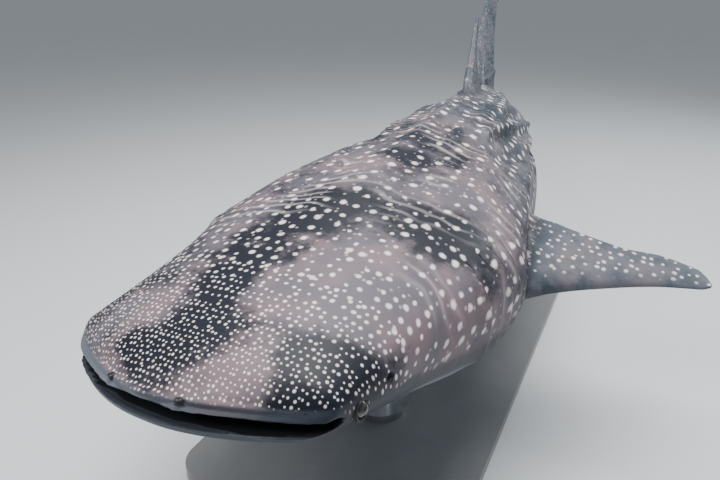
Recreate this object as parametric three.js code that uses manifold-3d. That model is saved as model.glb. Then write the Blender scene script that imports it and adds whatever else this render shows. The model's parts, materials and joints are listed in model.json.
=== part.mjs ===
// A life-size still model of a young whale shark, swimming, on a plain display stand.
// Millimetres, +Z up. The head faces -Y and the shark's own left side is at +X.
import * as THREE from "three";
import { mergeVertices } from "three/addons/utils/BufferGeometryUtils.js";
import Module from "manifold-3d";

const wasm = await Module();
wasm.setup();

// Driving dimensions. Places along the body are shares of its length, from snout to tail.
const LENGTH = 6000;
const GAP = 0.3; // clear space between touching pieces
const degrees = Math.PI / 180;

const head = {
  noseShare: 0.031, // how far back the blunt rounding of the snout reaches, seen from above
  noseSquareness: 1.41,
  lipShare: 0.02, // the same, seen from the side
  lipSquareness: 2.2,
  jawReach: 0.0075, // how far the lower jaw stands out in front of the upper one
};
const mouth = {
  level: -30,
  gape: 25, // half the height of the opening in front
  throat: 55, // half the height of the cavity behind it
  corner: 0.036,
  back: 0.075,
  inner: 0.78, // cavity width as a share of the head's
  jawEnd: 0.078,
};
const eye = { place: 0.047, angle: 97, radius: 27, sunk: 15 };
const lip = { radius: 15, reach: 0.03 };
const lid = { rim: 7, clear: 5 };
const nostril = { place: 0.0085, across: 0.66, long: 26, high: 11, barbel: 42 };
const spiracle = { place: 0.066, angle: 86, radius: 13 };
const gill = {
  first: 0.146,
  spacing: 0.0145,
  count: 5,
  flap: 15,
  angle: 84,
  tall: 40,
  shorter: 3.2, // each slit's half height in degrees shrinks by this much
};
const cuts = { gills: 0.13, trunk: 0.225, flank: 0.4, loin: 0.58, stock: 0.79 };

// Body profile: half height above and below the spine line, and half width, as shares of length.
const profile = {
  at: [0, 0.03, 0.06, 0.1, 0.15, 0.2, 0.26, 0.32, 0.4, 0.48, 0.56, 0.64, 0.72, 0.79],
  top: [0.0055, 0.0205, 0.031, 0.041, 0.05, 0.0565, 0.062, 0.0665, 0.0695, 0.0625, 0.051, 0.039, 0.028, 0.021],
  under: [0.011, 0.021, 0.03, 0.0405, 0.0555, 0.0685, 0.081, 0.083, 0.079, 0.0715, 0.057, 0.039, 0.026, 0.02],
  side: [0.068, 0.0765, 0.081, 0.088, 0.1015, 0.106, 0.0945, 0.0845, 0.074, 0.062, 0.048, 0.034, 0.023, 0.017],
};
// Pose: heading, pitch and roll along the spine, in degrees.
const pose = {
  at: [0, 0.22, 0.42, 0.6, 0.8, 1],
  heading: [3.5, 0, -4, -16, -22, -22],
  pitch: [-11.5, 0, 2, 2, 0, 2],
  roll: [-5, 0, -4, -4, 5, 6],
};
// Long skin ridges: angle from the back's midline at start and end, the stretch they run over, height and half width.
const ridges = [
  { angle: [0, 0], from: 0.1, to: 0.44, height: 26, spread: 8 },
  { angle: [38, 30], from: 0.15, to: 0.66, height: 30, spread: 10 },
  { angle: [72, 58], from: 0.19, to: 0.72, height: 34, spread: 11 },
  { angle: [106, 90], from: 0.24, to: 0.8, height: 34, spread: 11 },
];
const keel = { from: 0.62, full: 0.74, height: 62, spread: 16 };

const smooth = (x, a, b) => {
  const t = Math.min(1, Math.max(0, (x - a) / (b - a)));
  return t * t * (3 - 2 * t);
};

// A smooth curve through a few values, with slopes that never overshoot them.
function through(places, values, x) {
  const last = places.length - 1;
  if (x <= places[0]) return values[0];
  if (x >= places[last]) return values[last];
  let i = 0;
  while (places[i + 1] < x) i++;
  const step = (k) => (values[k + 1] - values[k]) / (places[k + 1] - places[k]);
  const slope = (k) => {
    if (k === 0) return step(0);
    if (k === last) return step(last - 1);
    const [before, after] = [step(k - 1), step(k)];
    return before * after <= 0 ? 0 : (2 * before * after) / (before + after);
  };
  const span = places[i + 1] - places[i];
  const t = (x - places[i]) / span;
  const [rise, fall] = [slope(i) * span, slope(i + 1) * span];
  return (
    values[i] * (1 + 2 * t) * (1 - t) ** 2 +
    rise * t * (1 - t) ** 2 +
    values[i + 1] * t * t * (3 - 2 * t) +
    fall * t * t * (t - 1)
  );
}

// The spine: at each share of the length, a point and the directions to the tail, the back and the left.
const SPINE_STEPS = 200;
const directionAt = (s) => {
  const turn = through(pose.at, pose.heading, s) * degrees;
  const rise = through(pose.at, pose.pitch, s) * degrees;
  const lean = through(pose.at, pose.roll, s) * degrees;
  const tail = new THREE.Vector3(
    Math.sin(turn) * Math.cos(rise),
    Math.cos(turn) * Math.cos(rise),
    Math.sin(rise),
  );
  const upright = new THREE.Vector3(
    -Math.sin(turn) * Math.sin(rise),
    -Math.cos(turn) * Math.sin(rise),
    Math.cos(rise),
  );
  const level = tail.clone().cross(upright);
  const back = upright
    .clone()
    .multiplyScalar(Math.cos(lean))
    .addScaledVector(level, Math.sin(lean));
  return { tail, back, left: tail.clone().cross(back) };
};
const spinePoints = [new THREE.Vector3()];
for (let i = 0; i < SPINE_STEPS; i++) {
  const middle = directionAt((i + 0.5) / SPINE_STEPS).tail;
  spinePoints.push(spinePoints[i].clone().addScaledVector(middle, LENGTH / SPINE_STEPS));
}
function spine(s) {
  const frame = directionAt(s);
  const place = Math.min(Math.max(s, 0), 0.9999) * SPINE_STEPS;
  const i = Math.floor(place);
  frame.point = spinePoints[i].clone().lerp(spinePoints[i + 1], place - i);
  if (s < 0) frame.point.addScaledVector(frame.tail, s * LENGTH);
  return frame;
}

// A point of space given in the body's own terms: share of length, left and back offsets.
const bodySpace = (s, left, back) => {
  const f = spine(s);
  return f.point.addScaledVector(f.left, left).addScaledVector(f.back, back);
};

const blunt = (s, reach, squareness) =>
  (1 - Math.max(0, 1 - Math.max(0, s) / reach) ** squareness) ** (1 / squareness);
const power = (x, e) => Math.sign(x) * Math.abs(x) ** e;
const bump = (x) => Math.exp(-(Math.abs(x) ** 1.5));

// Half sizes of the body at a place: width, height above and height below the spine line.
function sizesAt(s, under = 0) {
  const nose = blunt(s + head.jawReach * under, head.noseShare, head.noseSquareness);
  const lip = blunt(s + head.jawReach * under, head.lipShare, head.lipSquareness);
  return {
    side: through(profile.at, profile.side, s) * LENGTH * nose,
    top: through(profile.at, profile.top, s) * LENGTH * lip,
    under: through(profile.at, profile.under, s) * LENGTH * lip,
  };
}

// How far ridges, keels and gill flaps stand out of the plain body, in millimetres.
function relief(s, angle) {
  let out = 0;
  for (const r of ridges) {
    const t = (s - r.from) / (r.to - r.from);
    const middle = r.angle[0] + (r.angle[1] - r.angle[0]) * Math.min(1, Math.max(0, t));
    const run = smooth(t, 0, 0.25) * (1 - smooth(t, 0.75, 1));
    out += r.height * run * bump((angle - middle) / r.spread);
  }
  out += keel.height * smooth(s, keel.from, keel.full) * bump((angle - 90) / keel.spread);
  for (let i = 0; i < gill.count; i++) {
    const behind = (s - gill.first - i * gill.spacing) / gill.spacing;
    const tall = gill.tall - i * gill.shorter;
    const lies = behind > -1 && behind <= 0 ? (1 + behind) ** 2 : 0;
    out += gill.flap * lies * (1 - smooth(Math.abs(angle - gill.angle), tall * 0.6, tall));
  }
  return out;
}

// A point on the skin. angle runs from 0 on the back to 180 under the belly, negative on the right side.
function skin(s, angle, grow = 0) {
  const a = angle * degrees;
  const under = smooth(-Math.cos(a), -0.15, 0.3);
  const size = sizesAt(s, under);
  const peaked = smooth(s, 0.14, 0.4);
  const across = power(Math.sin(a), 0.8 + 0.4 * peaked);
  const rise = power(Math.cos(a), Math.cos(a) > 0 ? 0.9 + 0.54 * peaked : 0.85);
  const left = size.side * across;
  const back = (rise > 0 ? size.top : size.under) * rise;
  const reach = Math.hypot(left, back) || 1;
  const out = 1 + (relief(s, Math.abs(angle)) * smooth(s, 0.02, 0.1) + grow) / reach;
  return bodySpace(s, left * out, back * out);
}

// Closed geometry from rings of points, each ring turning the same way, with a fan over each end.
function loft(rings) {
  const count = rings[0].length;
  const points = rings.flat();
  const faces = [];
  for (let i = 0; i < rings.length - 1; i++)
    for (let j = 0; j < count; j++) {
      const [a, b] = [i * count + j, i * count + ((j + 1) % count)];
      faces.push(a, b, b + count, a, b + count, a + count);
    }
  for (const [ring, turned] of [[0, false], [rings.length - 1, true]]) {
    const middle = rings[ring].reduce((sum, p) => sum.add(p), new THREE.Vector3());
    points.push(middle.multiplyScalar(1 / count));
    for (let j = 0; j < count; j++) {
      const [a, b] = [ring * count + j, ring * count + ((j + 1) % count)];
      faces.push(points.length - 1, turned ? a : b, turned ? b : a);
    }
  }
  const made = new THREE.BufferGeometry().setFromPoints(points);
  made.setIndex(faces);
  return made;
}

// manifold-3d joins and cuts.
function solid(geometry) {
  const plain = geometry.clone();
  plain.deleteAttribute("normal");
  plain.deleteAttribute("uv");
  const merged = mergeVertices(plain, 1e-3);
  const mesh = { numProp: 3, vertProperties: merged.attributes.position.array };
  const made = new wasm.Manifold(
    new wasm.Mesh({ ...mesh, triVerts: new Uint32Array(merged.index.array) }),
  );
  if (made.volume() > 0) return made;
  const turned = Uint32Array.from(merged.index.array);
  for (let i = 0; i < turned.length; i += 3)
    [turned[i + 1], turned[i + 2]] = [turned[i + 2], turned[i + 1]];
  return new wasm.Manifold(new wasm.Mesh({ ...mesh, triVerts: turned }));
}
const largest = (made) =>
  made.decompose().reduce((best, piece) => (piece.volume() > best.volume() ? piece : best));
function geometryOf(made) {
  const mesh = made.getMesh();
  const geometry = new THREE.BufferGeometry();
  const points = new Float32Array(mesh.numVert * 3);
  for (let i = 0; i < mesh.numVert; i++)
    points.set(mesh.vertProperties.subarray(i * mesh.numProp, i * mesh.numProp + 3), i * 3);
  geometry.setAttribute("position", new THREE.BufferAttribute(points, 3));
  geometry.setIndex(new THREE.BufferAttribute(mesh.triVerts, 1));
  return geometry;
}

// The body between two places, with stations close together on the snout and at the gill slits.
const AROUND = 40;
const ringAngles = Array.from({ length: AROUND }, (_, j) => -180 + (360 * j) / AROUND);
const noseStations = [0, 0.0006, 0.0018, 0.004, 0.007, 0.011, 0.016, 0.023];
const slitStations = Array.from({ length: gill.count }, (_, i) => {
  const edge = gill.first + i * gill.spacing;
  return [edge - 0.007, edge - 0.0002, edge + 0.0006];
}).flat();
function stations(from, to, pitch) {
  const marks = [...noseStations, ...slitStations].filter((s) => s > from && s < to);
  const count = Math.max(1, Math.round((to - from) / pitch));
  for (let i = 0; i <= count; i++) {
    const s = from + ((to - from) * i) / count;
    if (marks.every((m) => Math.abs(m - s) > pitch * 0.3)) marks.push(s);
  }
  if (!marks.includes(from)) marks.push(from);
  if (!marks.includes(to)) marks.push(to);
  return marks.sort((a, b) => a - b);
}
const half = GAP / 2 / LENGTH;
const bodyLength = (places, grow = 0) =>
  solid(loft(places.map((s) => ringAngles.map((a) => skin(s, a, grow)))));

// Head and lower jaw, parted by the open mouth.
function mouthOpening() {
  const rows = [-0.02, -0.008, 0.006, 0.018, 0.028, 0.036, 0.042, 0.05, 0.06, 0.068, mouth.back];
  return loft(
    rows.map((s) => {
      const inside = smooth(s, mouth.corner - 0.008, mouth.corner + 0.008);
      const wide = sizesAt(0.03).side;
      const width = wide * 1.25 * (1 - inside) + sizesAt(s).side * mouth.inner * inside;
      const high = mouth.gape + (mouth.throat - mouth.gape) * smooth(s, 0.02, 0.06);
      const close = 1 - 0.65 * smooth(s, 0.06, mouth.back);
      return ringAngles
        .filter((_, j) => j % 2 === 0)
        .map((a) =>
          bodySpace(
            s,
            width * close * Math.sin(a * degrees),
            mouth.level + high * close * Math.cos(a * degrees),
          ),
        );
    }),
  );
}
function jawSpace(shrink) {
  const wide = 700;
  const deep = -900;
  const rows = [-0.03, 0, 0.03, 0.06, mouth.jawEnd - shrink / LENGTH];
  return loft(
    rows.map((s) => {
      const level = mouth.level - shrink;
      return [[-wide, deep], [wide, deep], [wide, level], [-wide, level]].map(([left, back]) =>
        bodySpace(s, left, back),
      );
    }),
  );
}
function eyeBall(side, grow = 0) {
  const centre = skin(eye.place, side * eye.angle, -eye.sunk);
  const ball = new THREE.SphereGeometry(eye.radius + grow, 14, 10);
  return solid(ball.translate(centre.x, centre.y, centre.z));
}

// The rolled rim of the upper lip, from one corner of the mouth round the front to the other.
function upperLip() {
  const rings = [];
  const steps = 28;
  for (let i = 0; i <= steps; i++) {
    const turn = -1 + (2 * i) / steps;
    const s = lip.reach * Math.abs(turn) ** 1.7;
    const width = sizesAt(s).side * Math.sign(turn);
    const middle = bodySpace(s, width, mouth.level + mouth.gape);
    const f = spine(s);
    const outward = f.left.clone().multiplyScalar(turn).addScaledVector(f.tail, -Math.sqrt(1 - turn ** 2));
    outward.normalize();
    const thick = lip.radius * (1 - 0.6 * Math.abs(turn) ** 3);
    rings.push(
      [20, 80, 140, 200, 260, 320].map((a) =>
        middle
          .clone()
          .addScaledVector(outward, thick * (Math.cos(a * degrees) - 0.45))
          .addScaledVector(f.back, thick * (Math.sin(a * degrees) + 0.9)),
      ),
    );
  }
  return solid(loft(rings));
}

// Raised rim round the eye, a nostril with its small barbel, and the spiracle's pit behind the eye.
function lidRim(side) {
  const f = spine(eye.place);
  const centre = skin(eye.place, side * eye.angle, -3);
  const rim = new THREE.TorusGeometry(eye.radius + lid.clear, lid.rim, 6, 18);
  const facing = new THREE.Matrix4().lookAt(f.left.clone().multiplyScalar(side), new THREE.Vector3(), f.back);
  return solid(rim.applyMatrix4(facing).translate(centre.x, centre.y, centre.z));
}
const nostrilPlace = (side, back) =>
  bodySpace(nostril.place, side * sizesAt(nostril.place).side * nostril.across, back);
function nostrilPit(side) {
  const p = nostrilPlace(side, mouth.level + mouth.gape + 2);
  const pit = new THREE.SphereGeometry(1, 12, 8).scale(nostril.long, nostril.long, nostril.high);
  return solid(pit.translate(p.x, p.y - nostril.long / 2, p.z));
}
function barbel(side) {
  const p = nostrilPlace(side * 0.9, mouth.level + mouth.gape);
  const cone = new THREE.ConeGeometry(9, nostril.barbel, 8).rotateX(-Math.PI / 2);
  return solid(cone.translate(p.x, p.y - lip.radius, p.z));
}
function spiraclePit(side) {
  const p = skin(spiracle.place, side * spiracle.angle);
  const pit = new THREE.SphereGeometry(spiracle.radius, 12, 8);
  return solid(pit.translate(p.x, p.y, p.z));
}

// Fins. Each is a foil lofted from a root sunk in the body to its tip.
// front and back are the edges' places along the chord at each share of the span, as shares of the span.
const FOIL = [
  [0, 0],
  [0.03, 0.42],
  [0.12, 0.82],
  [0.3, 1],
  [0.55, 0.8],
  [0.8, 0.38],
  [1, 0.06],
];
function fin({ root, span, reach, chord, up, edges, thick, droop = 0, rows = 11 }) {
  const out = reach.clone().normalize();
  const along = chord.clone().addScaledVector(out, -chord.dot(out)).normalize();
  const face = along.clone().cross(out).normalize();
  if (face.dot(up) < 0) face.negate();
  const rings = [];
  for (let i = 0; i <= rows; i++) {
    const t = i === 0 ? edges.at[0] : 1 - (1 - i / rows) ** 1.35;
    const front = through(edges.at, edges.front, t) * span;
    const rear = through(edges.at, edges.rear, t) * span;
    const depth = thick * (1 - 0.86 * smooth(t, -0.2, 1.05)) + 3;
    const bend = -droop * Math.max(0, t) ** 2 * span;
    const ring = [];
    const put = (u, v) =>
      ring.push(
        root
          .clone()
          .addScaledVector(out, t * span)
          .addScaledVector(along, front + (rear - front) * u)
          .addScaledVector(face, bend + (v * depth) / 2),
      );
    FOIL.forEach(([u, v]) => put(u, v));
    FOIL.slice(1).reverse().forEach(([u, v]) => put(u, -v));
    rings.push(ring);
  }
  return solid(loft(rings));
}

const shapes = {
  dorsal: {
    at: [-0.25, 0, 0.12, 0.35, 0.6, 0.85, 1],
    front: [-0.75, -0.58, -0.44, -0.2, 0.04, 0.3, 0.56],
    rear: [0.62, 0.66, 0.5, 0.38, 0.42, 0.55, 0.64],
  },
  small: {
    at: [-0.25, 0, 0.12, 0.35, 0.6, 0.85, 1],
    front: [-0.8, -0.6, -0.42, -0.14, 0.14, 0.42, 0.66],
    rear: [0.68, 0.88, 0.74, 0.56, 0.56, 0.66, 0.74],
  },
  pectoral: {
    at: [-0.14, 0, 0.17, 0.44, 0.72, 0.9, 0.96, 1],
    front: [-0.08, 0.06, 0.22, 0.4, 0.555, 0.63, 0.655, 0.69],
    rear: [0.8, 0.79, 0.775, 0.765, 0.81, 0.8, 0.765, 0.72],
  },
  upperTail: {
    at: [-0.12, 0, 0.15, 0.35, 0.6, 0.82, 0.95, 1],
    front: [-0.06, -0.07, -0.05, -0.01, 0.05, 0.13, 0.2, 0.26],
    rear: [0.14, 0.2, 0.25, 0.24, 0.24, 0.27, 0.3, 0.3],
  },
  lowerTail: {
    at: [-0.2, 0, 0.2, 0.45, 0.7, 0.9, 1],
    front: [-0.14, -0.12, -0.05, 0.06, 0.19, 0.33, 0.46],
    rear: [0.3, 0.36, 0.34, 0.34, 0.41, 0.48, 0.52],
  },
};

// Where a fin stands: a place on the skin and directions worked out from the body there.
function finAt({ place, angle, lean, sweep = 0, twist = 0, ...rest }) {
  const f = spine(place);
  const side = Math.sign(angle) || 1;
  const a = (lean ?? Math.abs(angle)) * degrees;
  const outward = f.back
    .clone()
    .multiplyScalar(Math.cos(a))
    .addScaledVector(f.left, Math.sin(a) * side);
  const reach = outward.clone().addScaledVector(f.tail, sweep);
  const upper = f.tail.clone().cross(outward).multiplyScalar(-side);
  const chord = f.tail
    .clone()
    .multiplyScalar(Math.cos(twist * degrees))
    .addScaledVector(upper, Math.sin(twist * degrees));
  return fin({ root: skin(place, angle), reach, chord, up: upper, ...rest });
}

const pectoral = (side, lean) =>
  finAt({
    place: 0.225,
    angle: side * 112,
    lean,
    twist: 24,
    span: 700,
    edges: shapes.pectoral,
    thick: 100,
    rows: 14,
  });
const pelvic = (side) =>
  finAt({ place: 0.51, angle: side * 138, lean: 142, span: 300, edges: shapes.small, thick: 44, rows: 7 });

// The tail fin leans to the shark's right on the end of the tail, and its rear edge bends to the left.
const tailSwing = { lobes: -4, chord: 31 };
const stock = spine(0.782);
const swung = (turn) =>
  stock.tail
    .clone()
    .multiplyScalar(Math.cos(turn * degrees))
    .addScaledVector(stock.left, Math.sin(turn * degrees));
function tailLobe(rise, span, edges, thick) {
  const reach = swung(tailSwing.lobes)
    .multiplyScalar(Math.cos(rise * degrees))
    .addScaledVector(stock.back, Math.sin(rise * degrees));
  const chord = swung(tailSwing.chord);
  return fin({ root: stock.point.clone(), span, reach, chord, up: stock.left, edges, thick, rows: 12 });
}

// Stand sizes and places: a flat base and two rods up to the belly.
const stand = {
  baseLong: 3000,
  baseWide: 1200,
  baseThick: 60,
  baseCorner: 120,
  baseMiddle: 0.34,
  drop: 930, // from the spine at the gills to the underside of the base
  rodRadius: 55,
  footRadius: 150,
  footHigh: 40,
  rods: [0.22, 0.47],
};

// Materials, one colour to a slot.
const paint = (colour, roughness = 0.5, metalness = 0) =>
  new THREE.MeshStandardMaterial({ color: new THREE.Color(...colour), roughness, metalness });
const materials = {
  hide: paint([0.3, 0.32, 0.36]),
  eye: paint([0.03, 0.03, 0.035], 0.1),
  steel: paint([0.5, 0.51, 0.52], 0.35, 0.9),
  base: paint([0.16, 0.165, 0.17], 0.5, 0.2),
};

const shark = new THREE.Group();
const solids = {};
function keep(name, made, material) {
  solids[name] = largest(made);
  const mesh = new THREE.Mesh(geometryOf(solids[name]), material);
  mesh.name = name;
  shark.add(mesh);
}

// Body lengths.
const headStations = stations(0, cuts.gills - half, 0.0125);
const headWhole = bodyLength(headStations);
const opening = solid(mouthOpening());
const sockets = eyeBall(1, GAP).add(eyeBall(-1, GAP));
let skull = headWhole.subtract(opening).subtract(solid(jawSpace(0))).add(upperLip());
for (const side of [1, -1]) {
  skull = skull.add(barbel(side)).add(lidRim(side));
  skull = skull.subtract(nostrilPit(side)).subtract(spiraclePit(side));
}
keep("head", skull.subtract(sockets), materials.hide);
const jaw = headWhole.intersect(solid(jawSpace(GAP))).subtract(opening).subtract(sockets);
keep("lower_jaw", jaw.subtract(lidRim(1)).subtract(lidRim(-1)), materials.hide);
keep("eye_left", eyeBall(1), materials.eye);
keep("eye_right", eyeBall(-1), materials.eye);
const lengths = [
  ["gill_region", cuts.gills, cuts.trunk, 0.016],
  ["shoulders", cuts.trunk, cuts.flank, 0.02],
  ["trunk", cuts.flank, cuts.loin, 0.022],
  ["tail_stock", cuts.loin, cuts.stock, 0.022],
];
const bodyStations = [...headStations];
for (const [name, from, to, pitch] of lengths) {
  const places = stations(from + half, to - half, pitch);
  keep(name, bodyLength(places), materials.hide);
  bodyStations.push(...places);
}

// Fins, each cut back clear of the body that it grows from.
const clearance = bodyLength([...bodyStations, cuts.stock + half], 2 * GAP);
const fins = {
  dorsal_fin_first: finAt({
    place: 0.475, angle: 0, lean: -2.5, span: 470, sweep: 0.12, edges: shapes.dorsal, thick: 74, rows: 11,
  }),
  dorsal_fin_second: finAt({
    place: 0.645, angle: 0, span: 230, sweep: 0.1, edges: shapes.small, thick: 40, rows: 7,
  }),
  anal_fin: finAt({ place: 0.665, angle: 180, lean: 180, span: 210, edges: shapes.small, thick: 36, rows: 7 }),
  pectoral_fin_left: pectoral(1, 100),
  pectoral_fin_right: pectoral(-1, 124),
  pelvic_fin_left: pelvic(1),
  pelvic_fin_right: pelvic(-1),
};
for (const [name, made] of Object.entries(fins)) keep(name, made.subtract(clearance), materials.hide);
const upperLobe = tailLobe(52, 1450, shapes.upperTail, 88).subtract(clearance);
const lowerLobe = tailLobe(-52, 800, shapes.lowerTail, 70).subtract(clearance);
const below = -2000;
const lowerHalf = solid(
  loft([-0.1, 0.5].map((more) =>
    [[-300, below], [300, below], [300, 0], [-300, 0]].map(([left, back]) =>
      stock.point.clone()
        .addScaledVector(stock.tail, more * LENGTH)
        .addScaledVector(stock.left, left)
        .addScaledVector(stock.back, back)),
  )),
);
const raised = lowerHalf.translate([0, 0, GAP]);
keep("tail_fin_upper", upperLobe.subtract(raised), materials.hide);
keep("tail_fin_lower", lowerLobe.intersect(lowerHalf), materials.hide);

// Stand.
const shoulderPoint = spine(cuts.trunk).point;
const floor = shoulderPoint.z - stand.drop;
function roundedPlate(long, wide, corner, thick) {
  const outline = new THREE.Shape();
  const [x, y] = [wide / 2 - corner, long / 2 - corner];
  outline.absarc(x, y, corner, 0, Math.PI / 2);
  outline.absarc(-x, y, corner, Math.PI / 2, Math.PI);
  outline.absarc(-x, -y, corner, Math.PI, 1.5 * Math.PI);
  outline.absarc(x, -y, corner, 1.5 * Math.PI, 2 * Math.PI);
  return new THREE.ExtrudeGeometry(outline, { depth: thick, bevelEnabled: false, curveSegments: 6 });
}
const baseCentre = spine(stand.baseMiddle).point;
keep(
  "stand_base",
  solid(
    roundedPlate(stand.baseLong, stand.baseWide, stand.baseCorner, stand.baseThick).translate(
      baseCentre.x, baseCentre.y, floor,
    ),
  ),
  materials.base,
);
stand.rods.forEach((place, i) => {
  const middle = spine(place).point;
  const round = (radius, bottom, top) =>
    solid(
      new THREE.CylinderGeometry(radius, radius, top - bottom, 24)
        .rotateX(Math.PI / 2)
        .translate(middle.x, middle.y, (bottom + top) / 2),
    );
  const footBottom = floor + stand.baseThick + GAP;
  const footTop = footBottom + stand.footHigh;
  keep(`stand_foot_${i + 1}`, round(stand.footRadius, footBottom, footTop), materials.steel);
  const rod = round(stand.rodRadius, footTop + GAP, middle.z);
  keep(`stand_rod_${i + 1}`, rod.subtract(clearance), materials.steel);
});

// The origin is the middle of the whole model's floor rectangle.
const box = new THREE.Box3().setFromObject(shark);
const centre = box.getCenter(new THREE.Vector3());
shark.position.set(-centre.x, -centre.y, -box.min.z);
export default shark;
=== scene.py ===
# A life-size still model of a young whale shark on a display stand: its skin, eyes, stand finishes and stage.
import json
import math

import bmesh
import bpy
import numpy as np
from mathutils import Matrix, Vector
from mathutils.kdtree import KDTree


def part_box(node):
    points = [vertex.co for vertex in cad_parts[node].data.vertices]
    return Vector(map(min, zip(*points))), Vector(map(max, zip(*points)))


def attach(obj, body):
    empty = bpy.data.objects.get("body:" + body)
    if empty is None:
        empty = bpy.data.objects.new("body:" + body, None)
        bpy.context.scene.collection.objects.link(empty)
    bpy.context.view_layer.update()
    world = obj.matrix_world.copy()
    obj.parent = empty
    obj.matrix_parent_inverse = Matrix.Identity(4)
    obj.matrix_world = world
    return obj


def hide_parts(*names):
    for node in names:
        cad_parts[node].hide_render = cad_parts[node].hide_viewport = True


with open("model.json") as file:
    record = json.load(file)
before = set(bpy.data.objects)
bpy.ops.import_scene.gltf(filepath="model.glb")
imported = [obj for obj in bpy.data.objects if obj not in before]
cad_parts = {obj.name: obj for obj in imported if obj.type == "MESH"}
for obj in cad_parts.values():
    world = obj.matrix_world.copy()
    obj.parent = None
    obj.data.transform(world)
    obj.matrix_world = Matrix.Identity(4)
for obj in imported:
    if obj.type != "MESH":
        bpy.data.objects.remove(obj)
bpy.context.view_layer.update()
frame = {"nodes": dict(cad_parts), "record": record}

bl_info = {
    "name": "Whale Shark Display Model",
    "version": (1, 0, 0),
    "blender": (4, 5, 0),
    "location": "3D View > Sidebar > Whale Shark",
    "description": "Builds the skin, eyes, stand and stage of a life-size whale shark model",
    "category": "Object",
}

# Sizes shared with the solids, in metres and in shares of the body's length.
LENGTH = 6.0
NOSE = {"share": 0.031, "squareness": 1.41}
LIP = {"share": 0.02, "squareness": 2.2}
JAW_REACH = 0.0075
MOUTH = {"level": -0.030, "gape": 0.025, "throat": 0.055, "corner": 0.036, "back": 0.075, "inner": 0.78}
EYE = {"place": 0.047, "angle": 97, "radius": 0.027, "sunk": 0.015}
UPPER_LIP = {"radius": 0.015, "reach": 0.03, "crowding": 1.7, "taper": 0.6, "above": 0.9, "sunk": 0.45}
LOWER_LIP = {"radius": 0.010, "below": 0.004, "sweep": 68, "taper": 0.5, "sunk": 0.5, "drop": 0.25}
# The plain band round the mouth, on both sides of the upper lip and down the front of the jaw.
LIP_BAND = {"middle": 0.004, "half": (0.012, 0.022), "ends": (0.028, 0.05), "jaw": (-0.03, -0.015)}
HEAD_END = 0.09
EYE_CLEAR = 0.0008
CORNEA = {"bulge": 0.0022, "rim": (0.80, 0.97)}
LID = {"rim": 0.007, "clear": 0.004}
NOSTRIL = {"place": 0.0085, "across": 0.66, "long": 0.026, "high": 0.011, "above": 0.002}
BARBEL = {"long": 0.042, "root": 0.009, "tip": 0.0018, "across": 0.9, "above": 0.010, "ahead": 2.1}
SPIRACLE = {"place": 0.066, "angle": 86, "radius": 0.013}
GILL = {"first": 0.146, "spacing": 0.0145, "count": 5, "flap": 0.015, "angle": 84, "tall": 40, "shorter": 3.2}
SLIT = {"behind": 0.0010, "half": 0.0008, "deep": 0.011, "full": 0.6}
BOW = {"back": 0.0045, "most": 1.2, "starts": (0.128, 0.142), "ends": (0.212, 0.235)}
TAIL_ROOT = 0.782
STOCK_END = 0.79
# Rows of place, height above the spine line, depth below it and half width, all as shares of the length.
PROFILE = (
    (0, 0.0055, 0.011, 0.068),
    (0.03, 0.0205, 0.021, 0.0765),
    (0.06, 0.031, 0.03, 0.081),
    (0.1, 0.041, 0.0405, 0.088),
    (0.15, 0.05, 0.0555, 0.1015),
    (0.2, 0.0565, 0.0685, 0.106),
    (0.26, 0.062, 0.081, 0.0945),
    (0.32, 0.0665, 0.083, 0.0845),
    (0.4, 0.0695, 0.079, 0.074),
    (0.48, 0.0625, 0.0715, 0.062),
    (0.56, 0.051, 0.057, 0.048),
    (0.64, 0.039, 0.039, 0.034),
    (0.72, 0.028, 0.026, 0.023),
    (0.79, 0.021, 0.02, 0.017),
)
PROFILE_AT, TOP, UNDER, SIDE = zip(*PROFILE)
POSE_AT = (0, 0.22, 0.42, 0.6, 0.8, 1)
POSE = {
    "heading": (3.5, 0, -4, -16, -22, -22),
    "pitch": (-11.5, 0, 2, 2, 0, 2),
    "roll": (-5, 0, -4, -4, 5, 6),
}
# Ridges along the body: angle at start and end, the stretch they run over, height and half width in degrees.
RIDGES = (
    ((0, 0), 0.1, 0.44, 0.026, 8),
    ((38, 30), 0.15, 0.66, 0.030, 10),
    ((72, 58), 0.19, 0.72, 0.034, 11),
    ((106, 90), 0.24, 0.8, 0.034, 11),
)
RIDGE_END = 0.25
# Where the tail's keel starts and is full, its height and its half width in degrees.
KEEL = (0.62, 0.74, 0.062, 16)
# Powers of the section across, above and below: round behind the head and peaked further back.
SECTION = {"starts": 0.14, "full": 0.4, "across": (0.8, 0.4), "above": (0.9, 0.54), "below": 0.85}
JAW_BLEND = (-0.15, 0.3)
RELIEF_STARTS = (0.02, 0.1)
GAPE_TOP = MOUTH["level"] + MOUTH["gape"]
GAPE_BOTTOM = MOUTH["level"] - MOUTH["gape"]
# The camera that took the photograph: metres from the snout, degrees, and its focal length in pixels.
PICTURE_WIDTH = 720
CAMERA = {"from_snout": (0.9962, -0.7430, 0.9205), "azimuth": 27.32, "height": 24.24, "focal_pixels": 570.4}


def smooth(x, a, b):
    """0 below a and 1 above b, with a soft step between them."""
    t = np.clip((np.asarray(x, float) - a) / (b - a), 0, 1)
    return t * t * (3 - 2 * t)


def stretches(*rows):
    """Marks over stretches that follow one another, each given as start, end and number of steps."""
    marks = [np.linspace(start, end, steps + 1)[1:] for start, end, steps in rows]
    return np.concatenate([[rows[0][0]], *marks])


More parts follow.
